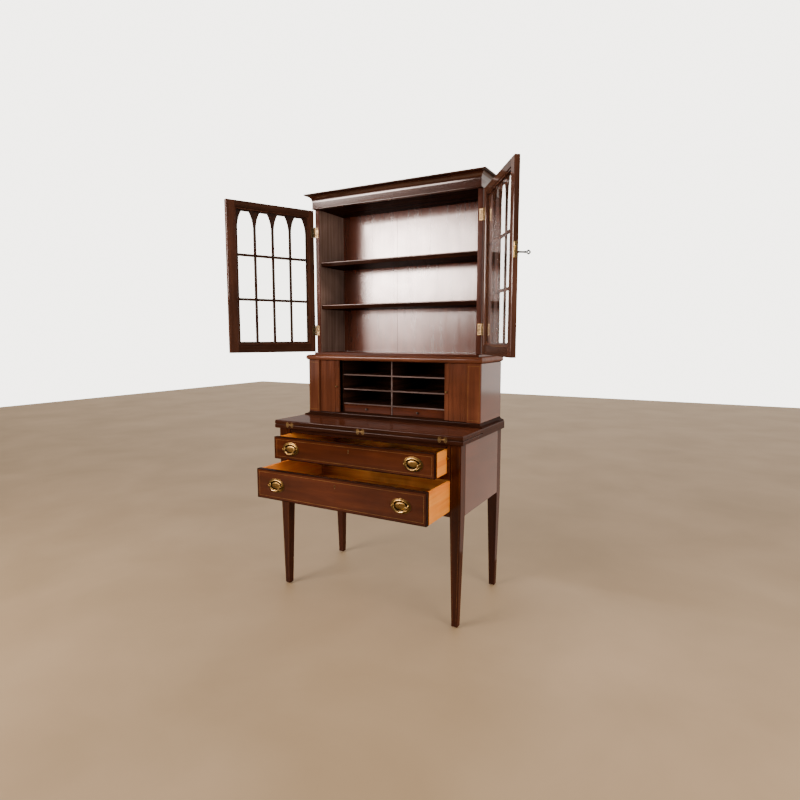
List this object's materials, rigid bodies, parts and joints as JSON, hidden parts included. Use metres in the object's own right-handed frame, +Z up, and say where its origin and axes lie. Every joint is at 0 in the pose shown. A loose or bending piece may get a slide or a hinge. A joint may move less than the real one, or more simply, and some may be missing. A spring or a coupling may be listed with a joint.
{
  "type": "secretary bookcase",
  "caption": "Tall mahogany secretary: glazed two-door bookcase over a tambour pigeonhole desk with fold-over writing leaf, lopers and long drawers on square tapered legs.",
  "frame": {"origin": "on the floor, under the middle of the whole piece as it stands with its doors and drawers open", "axes": "+X to the right seen from the front, -Y towards the person using it, +Z up"},
  "size_m": [1.3368, 0.689, 1.8118],
  "materials": {
    "mahogany": "dark reddish brown, polished",
    "tambour": "warm reddish brown reeded slats, polished",
    "inside": "dark stained, satin",
    "drawer": "orange tan secondary wood, satin",
    "brass": "aged brass",
    "iron": "worn dark iron",
    "glass": "clear window glass"
  },
  "bodies": {
    "case": {"base_back_panel": "inside", "base_moulding": "mahogany", "bookcase_back": "mahogany", "bookcase_shelf_lower": "mahogany", "bookcase_shelf_upper": "mahogany", "bookcase_side_left": "mahogany", "bookcase_side_right": "mahogany", "bottom_frame": "mahogany", "cornice": "mahogany", "drawer_divider": "mahogany", "leaf_hinge_left": "brass", "leaf_hinge_middle": "brass", "leaf_hinge_right": "brass", "left_door_hinge_bottom_fixed": "brass", "left_door_hinge_top_fixed": "brass", "leg_back_left": "mahogany", "leg_back_right": "mahogany", "leg_front_left": "mahogany", "leg_front_right": "mahogany", "pigeonhole_unit": "inside", "rear_top": "mahogany", "right_door_hinge_bottom_fixed": "brass", "right_door_hinge_top_fixed": "brass", "side_panel_left": "mahogany", "side_panel_right": "mahogany", "tambour_case_back": "inside", "tambour_case_side_left": "mahogany", "tambour_case_side_right": "mahogany", "waist_board": "mahogany", "writing_bed": "mahogany"},
    "writing_leaf": {"writing_leaf": "mahogany"},
    "upper_drawer": {"upper_drawer_front": "mahogany", "upper_drawer_box": "drawer", "upper_drawer_left_plate": "brass", "upper_drawer_right_plate": "brass"},
    "lower_drawer": {"lower_drawer_front": "mahogany", "lower_drawer_box": "drawer", "lower_drawer_left_plate": "brass", "lower_drawer_right_plate": "brass"},
    "upper_left_bail": {"upper_drawer_left_bail": "brass"},
    "upper_right_bail": {"upper_drawer_right_bail": "brass"},
    "lower_left_bail": {"lower_drawer_left_bail": "brass"},
    "lower_right_bail": {"lower_drawer_right_bail": "brass"},
    "left_loper": {"loper_left": "mahogany"},
    "right_loper": {"loper_right": "mahogany"},
    "left_small_drawer": {"small_drawer_left": "drawer"},
    "right_small_drawer": {"small_drawer_right": "drawer"},
    "left_tambour": {"tambour_left": "tambour"},
    "right_tambour": {"tambour_right": "tambour"},
    "left_door": {"left_door_sash": "mahogany", "left_door_glass": "glass", "left_door_hinge_bottom_moving": "brass", "left_door_hinge_top_moving": "brass"},
    "right_door": {"right_door_sash": "mahogany", "right_door_glass": "glass", "right_door_hinge_bottom_moving": "brass", "right_door_hinge_top_moving": "brass", "door_lock": "brass"},
    "bolt": {"lock_bolt": "brass"},
    "key": {"door_key": "iron"}
  },
  "joints": [
    {"name": "left_door_hinge", "type": "hinge", "parent": "case", "child": "left_door", "pos_m": [-0.46377, 0.1301, 1.0783], "axis": [0, 0, -1], "range_deg": [-116.1, 56]},
    {"name": "right_door_hinge", "type": "hinge", "parent": "case", "child": "right_door", "pos_m": [0.38503, 0.1301, 1.0783], "axis": [0, 0, 1], "range_deg": [-123.6, 50]},
    {"name": "door_key_turn", "type": "hinge", "parent": "right_door", "child": "key", "pos_m": [0.61859, -0.20264, 1.4333], "axis": [-0.8329, -0.5534, 0], "range_deg": [0, 180]},
    {"name": "lock_bolt_slide", "type": "slide", "parent": "right_door", "child": "bolt", "axis": [0.5534, -0.8329, 0], "range_m": [0, 0.008]},
    {"name": "writing_leaf_hinge", "type": "hinge", "parent": "case", "child": "writing_leaf", "pos_m": [-0.03937, -0.1431, 0.75815], "axis": [1, 0, 0], "range_deg": [0, 180]},
    {"name": "upper_drawer_slide", "type": "slide", "parent": "case", "child": "upper_drawer", "axis": [0, -1, 0], "range_m": [-0.107, 0.19]},
    {"name": "lower_drawer_slide", "type": "slide", "parent": "case", "child": "lower_drawer", "axis": [0, -1, 0], "range_m": [-0.203, 0.1]},
    {"name": "upper_left_bail_pivot", "type": "hinge", "parent": "upper_drawer", "child": "upper_left_bail", "pos_m": [-0.33437, -0.2445, 0.6719], "axis": [-1, 0, 0], "range_deg": [0, 95]},
    {"name": "upper_right_bail_pivot", "type": "hinge", "parent": "upper_drawer", "child": "upper_right_bail", "pos_m": [0.25563, -0.2445, 0.6719], "axis": [-1, 0, 0], "range_deg": [0, 95]},
    {"name": "lower_left_bail_pivot", "type": "hinge", "parent": "lower_drawer", "child": "lower_left_bail", "pos_m": [-0.33437, -0.3405, 0.53565], "axis": [-1, 0, 0], "range_deg": [0, 95]},
    {"name": "lower_right_bail_pivot", "type": "hinge", "parent": "lower_drawer", "child": "lower_right_bail", "pos_m": [0.25563, -0.3405, 0.53565], "axis": [-1, 0, 0], "range_deg": [0, 95]},
    {"name": "left_loper_slide", "type": "slide", "parent": "case", "child": "left_loper", "axis": [0, -1, 0], "range_m": [0, 0.24]},
    {"name": "right_loper_slide", "type": "slide", "parent": "case", "child": "right_loper", "axis": [0, -1, 0], "range_m": [0, 0.24]},
    {"name": "left_small_drawer_slide", "type": "slide", "parent": "case", "child": "left_small_drawer", "axis": [0, -1, 0], "range_m": [0, 0.13]},
    {"name": "right_small_drawer_slide", "type": "slide", "parent": "case", "child": "right_small_drawer", "axis": [0, -1, 0], "range_m": [0, 0.13]},
    {"name": "left_tambour_slide", "type": "slide", "parent": "case", "child": "left_tambour", "axis": [-1, 0, 0], "range_m": [-0.272, 0]},
    {"name": "right_tambour_slide", "type": "slide", "parent": "case", "child": "right_tambour", "axis": [1, 0, 0], "range_m": [-0.272, 0]}
  ],
  "couplings": [
    {"joint": "door_key_turn", "follows": "lock_bolt_slide", "rad_per_m": 392.6}
  ]
}
